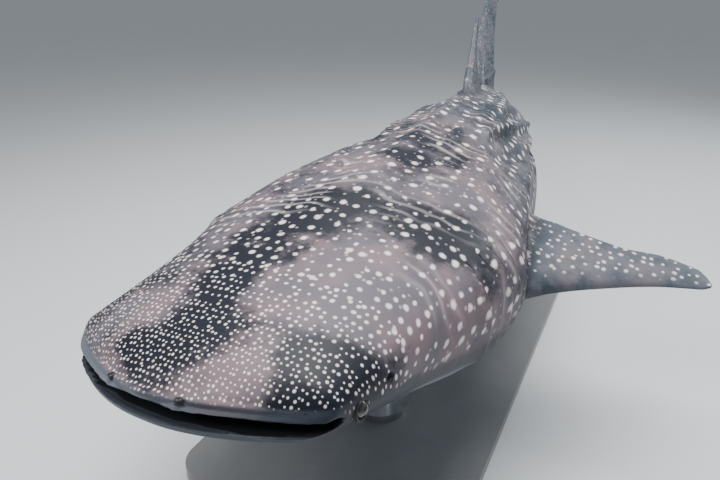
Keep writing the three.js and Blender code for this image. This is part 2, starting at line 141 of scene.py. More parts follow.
def through(places, values, x):
    """A smooth curve through a few values, with slopes that never overshoot them."""
    p, v = np.array(places, float), np.array(values, float)
    x = np.clip(np.asarray(x, float), p[0], p[-1])
    step = np.diff(v) / np.diff(p)
    slope = np.empty(len(p))
    slope[0], slope[-1] = step[0], step[-1]
    product = step[:-1] * step[1:]
    total = np.where(product > 0, step[:-1] + step[1:], 1)
    slope[1:-1] = np.where(product > 0, 2 * product / total, 0)
    i = np.clip(np.searchsorted(p, x, side="right") - 1, 0, len(p) - 2)
    span = p[i + 1] - p[i]
    t = (x - p[i]) / span
    return (
        v[i] * (1 + 2 * t) * (1 - t) ** 2
        + slope[i] * span * t * (1 - t) ** 2
        + v[i + 1] * t * t * (3 - 2 * t)
        + slope[i + 1] * span * t * t * (t - 1)
    )


def directions(s):
    """Unit directions to the tail, the back and the left at shares of the length."""
    turn, rise, lean = (np.radians(through(POSE_AT, POSE[k], s)) for k in ("heading", "pitch", "roll"))
    tail = np.stack([np.sin(turn) * np.cos(rise), np.cos(turn) * np.cos(rise), np.sin(rise)], -1)
    upright = np.stack([-np.sin(turn) * np.sin(rise), -np.cos(turn) * np.sin(rise), np.cos(rise)], -1)
    level = np.cross(tail, upright)
    back = upright * np.cos(lean)[..., None] + level * np.sin(lean)[..., None]
    return tail, back, np.cross(tail, back)


SPINE_STEPS = 200
SPINE = np.vstack([
    np.zeros(3),
    np.cumsum(directions((np.arange(SPINE_STEPS) + 0.5) / SPINE_STEPS)[0] * LENGTH / SPINE_STEPS, axis=0),
])
# Where the snout lies in the frame. It is found below, from the left eye.
OFFSET = np.zeros(3)


def spine_point(s):
    s = np.asarray(s, float)
    at = np.clip(s, 0, 1) * SPINE_STEPS
    point = np.stack([np.interp(at, np.arange(SPINE_STEPS + 1), SPINE[:, k]) for k in range(3)], -1)
    return point + directions(s)[0] * (np.minimum(s, 0) * LENGTH)[..., None] + OFFSET


def body_space(s, left, back):
    """Points at distances to the left of the spine line and above it."""
    s, left, back = np.broadcast_arrays(*(np.asarray(value, float) for value in (s, left, back)))
    _, up, side = directions(s)
    return spine_point(s) + side * left[..., None] + up * back[..., None]


def body_coordinates(points, s):
    """Distances of points to the left of the spine line and above it."""
    _, back, left = directions(s)
    spread = points - spine_point(s)
    return (spread * left).sum(-1), (spread * back).sum(-1)


def blunt(s, reach, squareness):
    return (1 - np.maximum(0, 1 - np.maximum(0, s) / reach) ** squareness) ** (1 / squareness)


def power(x, e):
    return np.sign(x) * np.abs(x) ** e


def bump(x):
    return np.exp(-(np.abs(x) ** 1.5))


def sizes_at(s, under=0.0):
    """Half width, height above and height below the spine line."""
    nose = blunt(s + JAW_REACH * under, NOSE["share"], NOSE["squareness"])
    lip = blunt(s + JAW_REACH * under, LIP["share"], LIP["squareness"])
    return (
        through(PROFILE_AT, SIDE, s) * LENGTH * nose,
        through(PROFILE_AT, TOP, s) * LENGTH * lip,
        through(PROFILE_AT, UNDER, s) * LENGTH * lip,
    )


def ridge_relief(s, angle):
    out = np.zeros(np.broadcast(s, angle).shape)
    for (first, last), start, end, height, spread in RIDGES:
        t = (s - start) / (end - start)
        middle = first + (last - first) * np.clip(t, 0, 1)
        run = smooth(t, 0, RIDGE_END) * (1 - smooth(t, 1 - RIDGE_END, 1))
        out += height * run * bump((angle - middle) / spread)
    start, full, height, spread = KEEL
    return out + height * smooth(s, start, full) * bump((angle - 90) / spread)


def gill_relief(s, angle):
    """Each flap rises towards the tail and drops into a narrow slit behind its edge.

    Returns the relief, and 1 in the slits and 0 away from them.
    """
    out = np.zeros(np.broadcast(s, angle).shape)
    slit = np.zeros_like(out)
    for i in range(GILL["count"]):
        edge = GILL["first"] + i * GILL["spacing"]
        behind = (s - edge) / GILL["spacing"]
        tall = GILL["tall"] - i * GILL["shorter"]
        window = 1 - smooth(np.abs(angle - GILL["angle"]), tall * SLIT["full"], tall)
        lies = np.where((behind > -1) & (behind <= 0), (1 + behind) ** 2, 0)
        groove = np.exp(-(((s - edge - SLIT["behind"]) / SLIT["half"]) ** 2)) * window
        out += GILL["flap"] * lies * window - SLIT["deep"] * groove
        slit = np.maximum(slit, groove)
    return out, slit


def skin(s, angle, grow=0.0, gill_s=None):
    """Points on the skin. The angle runs from 0 on the back to 180 under the belly, negative on the right."""
    s, angle = np.broadcast_arrays(np.asarray(s, float), np.asarray(angle, float))
    a = np.radians(angle)
    side, top, low = sizes_at(s, smooth(-np.cos(a), *JAW_BLEND))
    peaked = smooth(s, SECTION["starts"], SECTION["full"])
    across, above = (SECTION[key][0] + SECTION[key][1] * peaked for key in ("across", "above"))
    across = power(np.sin(a), across)
    rise = power(np.cos(a), np.where(np.cos(a) > 0, above, SECTION["below"]))
    left = side * across
    back = np.where(rise > 0, top, low) * rise
    reach = np.hypot(left, back)
    relief = ridge_relief(s, np.abs(angle)) + gill_relief(s if gill_s is None else gill_s, np.abs(angle))[0]
    out = 1 + (relief * smooth(s, *RELIEF_STARTS) + grow) / np.where(reach > 0, reach, 1)
    return body_space(s, left * out, back * out)


OFFSET = np.mean(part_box("eye_left"), axis=0) - skin(EYE["place"], EYE["angle"], -EYE["sunk"])


# Small helpers for meshes.
def deselect_all():
    if bpy.context.object and bpy.context.object.mode != "OBJECT":
        bpy.ops.object.mode_set(mode="OBJECT")
    bpy.ops.object.select_all(action="DESELECT")


def activate(made):
    deselect_all()
    made.select_set(True)
    bpy.context.view_layer.objects.active = made


def welded(mesh, merge, shortest):
    """The mesh with doubled vertices merged and faces without area removed."""
    bm = bmesh.new()
    bm.from_mesh(mesh)
    bmesh.ops.remove_doubles(bm, verts=bm.verts, dist=merge)
    bmesh.ops.dissolve_degenerate(bm, edges=bm.edges, dist=shortest)
    return bm


def loft(name, rings, merge=1e-5):
    """A closed skin over rings of points, with a fan over each end and its faces outwards."""
    rings = np.asarray(rings)
    n, m = rings.shape[:2]
    points = np.vstack([rings.reshape(-1, 3), rings[0].mean(0), rings[-1].mean(0)])
    faces = []
    for i in range(n - 1):
        a = i * m
        faces += [(a + j, a + (j + 1) % m, a + m + (j + 1) % m, a + m + j) for j in range(m)]
    faces += [(n * m, (j + 1) % m, j) for j in range(m)]
    last = (n - 1) * m
    faces += [(n * m + 1, last + j, last + (j + 1) % m) for j in range(m)]
    mesh = bpy.data.meshes.new(name)
    mesh.from_pydata(points.tolist(), [], faces)
    mesh.validate()
    bm = welded(mesh, merge, 1e-7)
    bmesh.ops.recalc_face_normals(bm, faces=bm.faces)
    if bm.calc_volume(signed=True) < 0:
        bmesh.ops.reverse_faces(bm, faces=bm.faces)
    bm.to_mesh(mesh)
    bm.free()
    made = bpy.data.objects.new(name, mesh)
    bpy.context.scene.collection.objects.link(made)
    return made


def set_part(made, name):
    """Gives every face the slot of the part that it belongs to."""
    made.data.materials.clear()
    for slot in (f"part_{part}" for part in PARTS):
        made.data.materials.append(bpy.data.materials.get(slot) or bpy.data.materials.new(slot))
    faces = made.data.polygons
    faces.foreach_set("material_index", np.full(len(faces), PARTS.index(name), np.int32))
    return made


def combine(target, tool, part, operation="UNION"):
    """Joins or cuts the target with a closed tool, whose faces become those of a part."""
    set_part(tool, part)
    activate(target)
    step = target.modifiers.new("combine", "BOOLEAN")
    step.operation = operation
    step.object = tool
    step.solver = "MANIFOLD"
    before = len(target.data.polygons)
    bpy.ops.object.modifier_apply(modifier=step.name)
    after = len(target.data.polygons)
    if after == before or after < before / 2:
        raise RuntimeError(f"{tool.name} did not join: {before} faces, now {after}")
    bpy.data.objects.remove(tool)


# The body's skin. Angles round a section lie closest together along the mouth line and the flank.
ANGLES = ((0, 78, 33), (78, 124, 43), (124, 180, 23))
NOSE_END = 0.03
NOSE_ROWS = {"count": 30, "crowding": 1.9}
FRONT_ROWS = (NOSE_END, 0.139, 0.00165)
REAR_ROWS = (0.2115, STOCK_END, 150)
SLIT_ROWS = (-0.0045, -0.002, -0.0008, 0, 0.0004, 0.0010, 0.0016, 0.0026)
FLAP_ROWS = (0.25, 0.45, 0.62)
LEAST_STEP = 0.00035
# Creases from the mouth's corner round the jaw's hinge: place, angle there, slope, length and depth.
CREASES = (
    (0.041, 104, 520, 0.016, 0.006),
    (0.049, 112, 430, 0.014, 0.005),
    (0.056, 119, 380, 0.012, 0.004),
)
CREASE_WIDTH = 1.7
# Long crests and troughs of the back behind the gills: place, angle there, slope, half width and height.
BACK_FOLDS = (
    (0.338, 22, 132, 3.2, 0.012),
    (0.338, 31, 187, 3.6, 0.018),
    (0.338, 38, 187, 4.0, -0.016),
    (0.346, 51, 270, 8.0, -0.026),
)
FOLDS_RUN = ((0.27, 0.34), (0.5, 0.6))
WRINKLES = {"rows": (0.235, 0.44, 12), "wave": 0.004, "half": 0.0026, "deep": 0.0026, "ends": (55, 100)}


def body_angles():
    marks = stretches(*ANGLES)
    return np.concatenate([-marks[:0:-1], marks])[:-1]


def body_stations():
    nose = NOSE_END * np.linspace(0, 1, NOSE_ROWS["count"]) ** NOSE_ROWS["crowding"]
    front = np.arange(*FRONT_ROWS)[1:]
    edges = GILL["first"] + np.arange(GILL["count"])[:, None] * GILL["spacing"]
    slits = (edges + np.array(SLIT_ROWS)).ravel()
    flaps = (np.arange(-1, GILL["count"])[:, None] + np.array(FLAP_ROWS)).ravel()
    flaps = GILL["first"] + flaps * GILL["spacing"]
    marks = np.sort(np.concatenate([nose, front, slits, flaps, np.linspace(*REAR_ROWS)]))
    return marks[np.concatenate([[True], np.diff(marks) > LEAST_STEP])]


def outward_normals(points, s):
    """Unit normals of a grid of points round the spine line."""
    along = np.gradient(points, axis=0)
    around = np.gradient(np.concatenate([points[:, -1:], points, points[:, :1]], 1), axis=1)[:, 1:-1]
    normal = np.cross(along, around)
    size = np.linalg.norm(normal, axis=-1, keepdims=True)
    normal = normal / np.where(size > 1e-12, size, 1)
    outward = np.sign(((points - spine_point(s)[:, None]) * normal).sum(-1, keepdims=True))
    return normal * np.where(outward == 0, 1, outward)


def fold_relief(s, angle):
    """Small folds that the plain profile lacks."""
    left = np.abs(angle)
    fold = np.zeros(np.broadcast(s, angle).shape)
    for start, middle, slope, long, deep in CREASES:
        off = (left - (middle + (s - start) * slope)) / CREASE_WIDTH
        fold -= deep * np.exp(-(((s - start) / long) ** 4)) * np.exp(-(off**2))
    run = smooth(s, *FOLDS_RUN[0]) * (1 - smooth(s, *FOLDS_RUN[1]))
    for place, middle, slope, wide, rise in BACK_FOLDS:
        fold += rise * run * np.exp(-(((left - middle - (s - place) * slope) / wide) ** 2))
    top = 1 - smooth(left, *WRINKLES["ends"])
    for k, place in enumerate(np.linspace(*WRINKLES["rows"])):
        wave = place + WRINKLES["wave"] * np.sin(np.radians(angle) * 3 + k * 1.7)
        fold -= WRINKLES["deep"] * np.exp(-(((s - wave) / WRINKLES["half"]) ** 2)) * top
    return fold


def body_skin():
    s, a = body_stations()[:, None], body_angles()[None]
    flank = np.clip((np.abs(a) - GILL["angle"]) / GILL["tall"], -BOW["most"], BOW["most"]) ** 2
    bow = BOW["back"] * flank * smooth(s, *BOW["starts"]) * (1 - smooth(s, *BOW["ends"]))
    points = skin(s + bow, a, 0, s + 0 * a)
    return loft("shark_skin", points + outward_normals(points, s[:, 0]) * fold_relief(s, a)[..., None])


FOIL_AT = (0, 0.03, 0.12, 0.3, 0.55, 0.8, 1)
FOIL = (0.1, 0.42, 0.82, 1, 0.8, 0.38, 0.05)
BLADE = {"nose": 0.03, "taper": 0.86, "thinnest": 0.003, "crowding": 1.35, "merge": 1e-4}
# Fins' front and rear edges: shares of the span, then how far aft each edge lies there over the span.
EDGES = {
    "dorsal": (
        (-0.25, 0, 0.12, 0.35, 0.6, 0.85, 1),
        (-0.75, -0.58, -0.44, -0.2, 0.04, 0.3, 0.56),
        (0.62, 0.66, 0.5, 0.38, 0.42, 0.55, 0.64),
    ),
    "small": (
        (-0.25, 0, 0.12, 0.35, 0.6, 0.85, 1),
        (-0.8, -0.6, -0.42, -0.14, 0.14, 0.42, 0.66),
        (0.68, 0.88, 0.74, 0.56, 0.56, 0.66, 0.74),
    ),
    "pectoral": (
        (-0.14, 0, 0.17, 0.44, 0.72, 0.9, 0.96, 1),
        (-0.08, 0.06, 0.22, 0.4, 0.555, 0.63, 0.655, 0.69),
        (0.8, 0.79, 0.775, 0.765, 0.81, 0.8, 0.765, 0.72),
    ),
    "upper_tail": (
        (-0.12, 0, 0.15, 0.35, 0.6, 0.82, 0.95, 1),
        (-0.06, -0.07, -0.05, -0.01, 0.05, 0.13, 0.2, 0.26),
        (0.14, 0.2, 0.25, 0.24, 0.24, 0.27, 0.3, 0.3),
    ),
    "lower_tail": (
        (-0.2, 0, 0.2, 0.45, 0.7, 0.9, 1),
        (-0.14, -0.12, -0.05, 0.06, 0.19, 0.33, 0.46),
        (0.3, 0.36, 0.34, 0.34, 0.41, 0.48, 0.52),
    ),
}
# Fins: place and angle on the body, lean from the back, sweep, twist, span, thickness, edges, rows.
FINS = {
    "dorsal_fin_first": (0.475, 0, -2.5, 0.12, 0, 0.47, 0.074, "dorsal", 26),
    "dorsal_fin_second": (0.645, 0, 0, 0.1, 0, 0.23, 0.04, "small", 16),
    "anal_fin": (0.665, 180, 180, 0, 0, 0.21, 0.036, "small", 16),
    "pectoral_fin_left": (0.225, 112, 100, 0, 24, 0.7, 0.1, "pectoral", 44),
    "pectoral_fin_right": (0.225, -112, 124, 0, 24, 0.7, 0.1, "pectoral", 44),
    "pelvic_fin_left": (0.51, 138, 142, 0, 0, 0.3, 0.044, "small", 18),
    "pelvic_fin_right": (0.51, -138, 142, 0, 0, 0.3, 0.044, "small", 18),
}
# The tail's lobes: rise in degrees, span and thickness. Both swing to the right and their chord to the left.
TAIL_LOBES = {"upper_tail": (52, 1.45, 0.088), "lower_tail": (-52, 0.8, 0.07)}
TAIL_SWING = {"lobes": -4, "chord": 31}
CHORDWISE = {"pectoral": 21, "small": 15, "dorsal": 15, "upper_tail": 19, "lower_tail": 19}
TAIL_ROWS = 40
PARTS = ["body", *FINS, *TAIL_LOBES, "lips", "barbels", "lids", "lining", "sockets"]


def unit(v):
    return v / np.linalg.norm(v)


def swing(start, towards, degrees):
    """A direction turned from one direction towards another that is square to it."""
    turn = math.radians(degrees)
    return start * math.cos(turn) + towards * math.sin(turn)


def fin_frame(root, reach, chord, up):
    """A fin's root, and its directions to the tip, to the rear edge and to its upper face."""
    out = unit(reach)
    along = unit(chord - out * (chord @ out))
    face = unit(np.cross(along, out))
    return {"root": root, "out": out, "along": along, "face": face if face @ up > 0 else -face}


def body_fin_frame(place, angle, lean, sweep, twist):
    tail, back, left = directions(np.array(place))
    side = math.copysign(1, angle) if angle else 1
    outward = swing(back, left * side, lean)
    upper = np.cross(tail, outward) * -side
    chord = swing(tail, upper, twist)
    return fin_frame(skin(place, angle), outward + tail * sweep, chord, upper)


def tail_frame(rise):
    tail, back, left = directions(np.array(TAIL_ROOT))
    lobes, chord = (swing(tail, left, turn) for turn in TAIL_SWING.values())
    reach = swing(lobes, back, rise)
    return fin_frame(spine_point(TAIL_ROOT), reach, chord, left)


def fin_solid(name, where, span, thick, edges, rows):
    """A foil lofted from a root sunk in the body to a rounded tip."""
    at, front_at, rear_at = EDGES[edges]
    u = (1 - np.cos(np.pi * np.linspace(0, 1, CHORDWISE[edges]))) / 2
    half = through(FOIL_AT, FOIL, u) * np.minimum(1, np.sqrt(u / BLADE["nose"] + 1e-9))
    ring_u = np.concatenate([u, u[-1:0:-1]])
    ring_v = np.concatenate([half, -half[-1:0:-1]])
    rings = []
    for i in range(rows + 1):
        t = at[0] if i == 0 else 1 - (1 - i / rows) ** BLADE["crowding"]
        front, rear = (float(through(at, edge, t)) * span for edge in (front_at, rear_at))
        depth = thick * (1 - BLADE["taper"] * float(smooth(t, -0.2, 1.05))) + BLADE["thinnest"]
        rings.append(
            where["root"]
            + where["out"] * (t * span)
            + where["along"] * (front + (rear - front) * ring_u)[:, None]
            + where["face"] * (ring_v * depth / 2)[:, None]
        )
    return loft(name, rings, BLADE["merge"])


# The mouth, the lips, the eyes' lids and the small pits.
THROAT = {"rows": ((-0.02, 0.02, 13), (0.02, 0.062, 29), (0.062, MOUTH["back"], 7)), "opens": (0.02, 0.06)}
THROAT |= {"corner": 0.008, "wider": 1.25, "closes": 0.65}
RIM_RING = np.radians(np.arange(0, 360, 30))


def mouth_cutter():
    """The hollow of the mouth: open across the whole front, and inside the head behind the corners."""
    a = np.radians(np.arange(0, 360, 5))
    open_width = sizes_at(NOSE_END)[0] * THROAT["wider"]
    rings = []
    for s in stretches(*THROAT["rows"]):
        inside = float(smooth(s, MOUTH["corner"] - THROAT["corner"], MOUTH["corner"] + THROAT["corner"]))
        width = open_width * (1 - inside) + sizes_at(s)[0] * MOUTH["inner"] * inside
        high = MOUTH["gape"] + (MOUTH["throat"] - MOUTH["gape"]) * float(smooth(s, *THROAT["opens"]))
        close = 1 - THROAT["closes"] * float(smooth(s, THROAT["opens"][1], MOUTH["back"]))
        back = MOUTH["level"] + high * close * np.cos(a)
        rings.append(body_space(np.full(len(a), s), width * close * np.sin(a), back))
    return loft("mouth_cutter", rings)


def rim(middle, thick, outward, back, shift=0.0):
    """One round ring of a lip's roll."""
    return middle + thick * (outward * (np.cos(RIM_RING) - shift)[:, None] + back * np.sin(RIM_RING)[:, None])


def upper_lip():
    """A rolled rim round the front of the mouth, from corner to corner."""
    rings = []
    for turn in np.linspace(-1, 1, 81):
        s = UPPER_LIP["reach"] * abs(turn) ** UPPER_LIP["crowding"]
        tail, back, left = directions(np.array(s))
        outward = unit(left * turn - tail * math.sqrt(1 - turn * turn))
        thick = UPPER_LIP["radius"] * (1 - UPPER_LIP["taper"] * abs(turn) ** 3)
        middle = body_space(s, sizes_at(s)[0] * np.sign(turn), GAPE_TOP + UPPER_LIP["above"] * thick)
        rings.append(rim(middle, thick, outward, back, UPPER_LIP["sunk"]))
    return loft("upper_lip", rings)


def lower_lip():
    """A rolled rim along the front edge of the lower jaw, where the skin reaches down past the gape."""
    level = GAPE_BOTTOM - LOWER_LIP["below"]
    turns = np.linspace(-1, 1, 91)
    angle = np.where(turns < 0, -1, 1) * (180 - LOWER_LIP["sweep"] * np.abs(turns))
    low, high = np.zeros(len(turns)), np.full(len(turns), 2 * NOSE_END)
    for _ in range(30):
        middle = (low + high) / 2
        deep = body_coordinates(skin(middle, angle), middle)[1] < level
        low, high = np.where(deep, low, middle), np.where(deep, middle, high)
    path = skin(high, angle)
    _, back, _ = directions(np.array(0.01))
    outward = np.cross(np.gradient(path, axis=0), back)
    outward /= np.linalg.norm(outward, axis=1, keepdims=True)
    away = path - body_space(NOSE_END, 0, level)
    outward *= np.sign((outward * away).sum(1, keepdims=True))
    rings = []
    for turn, point, out in zip(turns, path, outward):
        thick = LOWER_LIP["radius"] * (1 - LOWER_LIP["taper"] * abs(turn) ** 3)
        middle = point - out * (LOWER_LIP["sunk"] * thick) - back * (LOWER_LIP["drop"] * thick)
        rings.append(rim(middle, thick, out, back))
    return loft("lower_lip", rings)


def eye_centre(side, sunk=EYE["sunk"]):
    return skin(EYE["place"], side * EYE["angle"], -sunk)


def place_in_mesh(name):
    made = bpy.context.object
    made.name = name
    bpy.ops.object.transform_apply(location=True, rotation=True, scale=True)
    return made


def lid_ring(side):
    _, _, left = directions(np.array(EYE["place"]))
    deselect_all()
    bpy.ops.mesh.primitive_torus_add(
        location=eye_centre(side, 0.003),
        rotation=Vector(left * side).to_track_quat("Z", "Y").to_euler(),
        major_segments=36,
        minor_segments=10,
        major_radius=EYE["radius"] + LID["clear"],
        minor_radius=LID["rim"],
    )
    return place_in_mesh(f"lid_{side}")


def ball(name, centre, radii, segments=24):
    deselect_all()
    bpy.ops.mesh.primitive_uv_sphere_add(
        segments=segments, ring_count=segments // 2, radius=1, location=centre
    )
    bpy.context.object.scale = radii
    return place_in_mesh(name)


def nostril_place(side, above, ahead):
    """A point over the upper lip's nostril, so far above the gape and ahead of the skin."""
    across = sizes_at(NOSTRIL["place"])[0] * NOSTRIL["across"]
    return body_space(NOSTRIL["place"], side * across, GAPE_TOP + above) - np.array([0, ahead, 0])


def barbel(side):
    ahead = BARBEL["ahead"] * UPPER_LIP["radius"]
    deselect_all()
    bpy.ops.mesh.primitive_cone_add(
        vertices=16,
        radius1=BARBEL["root"],
        radius2=BARBEL["tip"],
        depth=BARBEL["long"],
        location=nostril_place(side * BARBEL["across"], BARBEL["above"], ahead),
        rotation=(math.pi, 0, 0),
    )
    return place_in_mesh(f"barbel_{side}")


def pits(side):
    """The hollows of one side: name, centre and radii."""
    long, high = NOSTRIL["long"], NOSTRIL["high"]
    return (
        ("eye_socket", eye_centre(side), (EYE["radius"] + EYE_CLEAR,) * 3),
        ("nostril_pit", nostril_place(side, NOSTRIL["above"], long / 2), (long, long, high)),
        ("spiracle_pit", skin(SPIRACLE["place"], side * SPIRACLE["angle"]), (SPIRACLE["radius"],) * 3),
    )


def length_prop(name, text, value):
    return bpy.props.FloatProperty(name=name, description=text, default=value, min=0, unit="LENGTH")


def colour_prop(name, text, value):
    return bpy.props.FloatVectorProperty(
        name=name, description=text, default=value, size=3, subtype="COLOR", min=0, max=1
    )


class SHARK_sizes(bpy.types.PropertyGroup):
    fin_blend: length_prop("Fin blend", "How far the fin roots are softened into the body", 0.07)
    lip_softness: length_prop("Lip softness", "How far the lips' edges are rounded over", 0.02)
    floor_size: length_prop("Floor size", "Side of the square floor", 400.0)


class SHARK_colours(bpy.types.PropertyGroup):
    ground: colour_prop("Ground", "Grey of the back", (0.112, 0.101, 0.124))
    rosy: colour_prop("Rosy ground", "Mauve tint of the paler patches", (0.200, 0.140, 0.155))
    rear: colour_prop("Rear ground", "Blue grey of the rear body and the fins", (0.066, 0.100, 0.128))
    dark: colour_prop("Dark patches", "Blue black of the dark patches", (0.006, 0.008, 0.016))
    spots: colour_prop("Spots", "Cream white of the spots", (0.88, 0.81, 0.80))
    belly: colour_prop("Belly", "Pale skin underneath", (0.30, 0.36, 0.42))
    lip_pale: colour_prop("Pale lip", "Plain band over the mouth", (0.105, 0.125, 0.155))
    lip_dark: colour_prop("Dark lip", "Darker lengths of the lips", (0.022, 0.028, 0.042))
    # Near black: painted shade of the mouth's hollow.
    lining: colour_prop("Mouth lining", "Inside of the mouth", (0.012, 0.014, 0.019))


# Shader maths.
class Wire:
    """A shader socket that takes part in Python sums."""

    def __init__(self, maker, socket):
        self.maker, self.socket = maker, socket

    def math(self, operation, other):
        return self.maker.math(operation, self, other)

    def __add__(self, other):
        return self.math("ADD", other)

    __radd__ = __add__

    def __sub__(self, other):
        return self.math("SUBTRACT", other)

    def __rsub__(self, other):
        return self.maker.math("SUBTRACT", other, self)

    def __mul__(self, other):
        return self.math("MULTIPLY", other)

    __rmul__ = __mul__

    def __truediv__(self, other):
        return self.math("DIVIDE", other)


class Material:
    """A node material that is built by calls."""

    def __init__(self, name):
        self.made = bpy.data.materials.new(name)
        self.made.use_nodes = True
        self.tree = self.made.node_tree
        self.tree.nodes.clear()
        self.end = self.tree.nodes.new("ShaderNodeOutputMaterial")

    def node(self, kind, settings=None, values=None, output=0):
        made = self.tree.nodes.new(kind)
        for key, value in (settings or {}).items():
            setattr(made, key, value)
        for key, value in (values or {}).items():
            target = made.inputs[key]
            if isinstance(value, Wire):
                self.tree.links.new(value.socket, target)
            elif target.type == "RGBA":
                target.default_value = (*value, 1)
            else:
                target.default_value = value
        return Wire(self, made.outputs[output])

    def math(self, operation, a, b):
        return self.node("ShaderNodeMath", {"operation": operation}, {0: a, 1: b})

    def fade(self, value, low, high):
        """0 below low and 1 above high, with a soft step between them."""
        return self.node(
            "ShaderNodeMapRange", {"interpolation_type": "SMOOTHSTEP"},
            {"Value": value, "From Min": low, "From Max": high},
        )

    def mix(self, mask, a, b):
        return self.node("ShaderNodeMix", {"data_type": "RGBA"}, {0: mask, 6: a, 7: b}, 2)

    def vector(self, operation, a, b):
        second = "Scale" if operation == "SCALE" else 1
        return self.node("ShaderNodeVectorMath", {"operation": operation}, {0: a, second: b})

    def axes(self, vector):
        made = self.node("ShaderNodeSeparateXYZ", None, {0: vector})
        return [Wire(self, made.socket.node.outputs[k]) for k in range(3)]

    def solid(self):
        return self.node("ShaderNodeTexCoord", None, None, 3)

    def attribute(self, name, output):
        return self.node("ShaderNodeAttribute", {"attribute_name": name}, None, output)

    def noise(self, where, scale, detail=2.0, roughness=0.5):
        values = {"Vector": where, "Scale": scale, "Detail": detail, "Roughness": roughness}
        return self.node("ShaderNodeTexNoise", None, values)

    def bump(self, height, strength, distance):
        values = {"Height": height, "Strength": strength, "Distance": distance}
        return self.node("ShaderNodeBump", None, values)

    def finish(self, **values):
        shader = self.node("ShaderNodeBsdfPrincipled", None, values)
        self.tree.links.new(shader.socket, self.end.inputs["Surface"])
        return self.made


# Spots by place: where a row of sizes starts and ends along the body, the pitch and the spots' share of it.
# The head's rows lie on the crown map, round a point on top of the head, and the others on the lay map.
CROWN_BANDS = (
    (-1.5, -0.42, 0.0200, 0.225),
    (-0.42, -0.30, 0.0235, 0.225),
    (-0.30, -0.17, 0.0285, 0.22),
    (-0.17, -0.06, 0.036, 0.21),
)
SPOT_BANDS = (
    (0.50, 0.70, 0.046, 0.20),
    (0.70, 0.98, 0.062, 0.185),
    (0.98, 1.62, 0.086, 0.165),
    (1.62, 3.30, 0.098, 0.165),
    (3.30, 6.50, 0.086, 0.17),
)
# Single small spots between the rows, and the fins' spots, whose places are moved clear of the body's.
SMALL_SPOTS = (0.60, 6.5, 0.040, 0.15, 0.9, 3.3)
FIN_SHIFT = 20.0
FIN_SPOTS = (FIN_SHIFT - 5, FIN_SHIFT + 5, 0.044, 0.20, 0.7)
JITTER = 0.55
# Soft patches of the back, by distance from the snout and round the body from the midline, both in metres,
# their reach each way and their strength. Dark ones are above nought and pale mauve ones below.
PATCHES = (
    (0.21, 0.03, 0.10, 0.13, 1.0),
    (0.13, -0.10, 0.06, 0.12, 0.8),
    (0.33, -0.03, 0.10, 0.08, 0.6),
    (0.50, -0.06, 0.15, 0.11, 1.0),
    (0.27, 0.42, 0.13, 0.16, 1.3),
    (0.20, 0.55, 0.10, 0.12, 0.9),
    (0.36, 0.62, 0.10, 0.10, 0.8),
    (0.90, -0.02, 0.16, 0.15, 1.1),
    (0.97, 0.42, 0.17, 0.17, 1.2),
    (0.78, -0.08, 0.13, 0.14, 0.5),
    (1.45, 0.12, 0.20, 0.18, 0.5),
    (1.95, -0.22, 0.28, 0.20, 0.6),
    (2.50, 0.25, 0.30, 0.20, 0.5),
    (0.25, -0.52, 0.12, 0.14, 1.0),
    (0.55, -0.62, 0.20, 0.20, 0.8),
    (1.10, -0.70, 0.25, 0.20, 0.9),
    (0.14, 0.22, 0.08, 0.09, -0.9),
    (0.24, -0.22, 0.10, 0.11, -0.8),
    (0.46, 0.18, 0.14, 0.12, -0.9),
    (0.58, 0.36, 0.18, 0.14, -1.0),
    (0.73, 0.60, 0.20, 0.18, -0.9),
    (0.72, 0.18, 0.12, 0.12, -0.5),
    (1.30, 0.36, 0.20, 0.20, -0.7),
    (1.25, -0.10, 0.20, 0.15, -0.5),
)


def shade(colour, share):
    return tuple(share * channel for channel in colour)


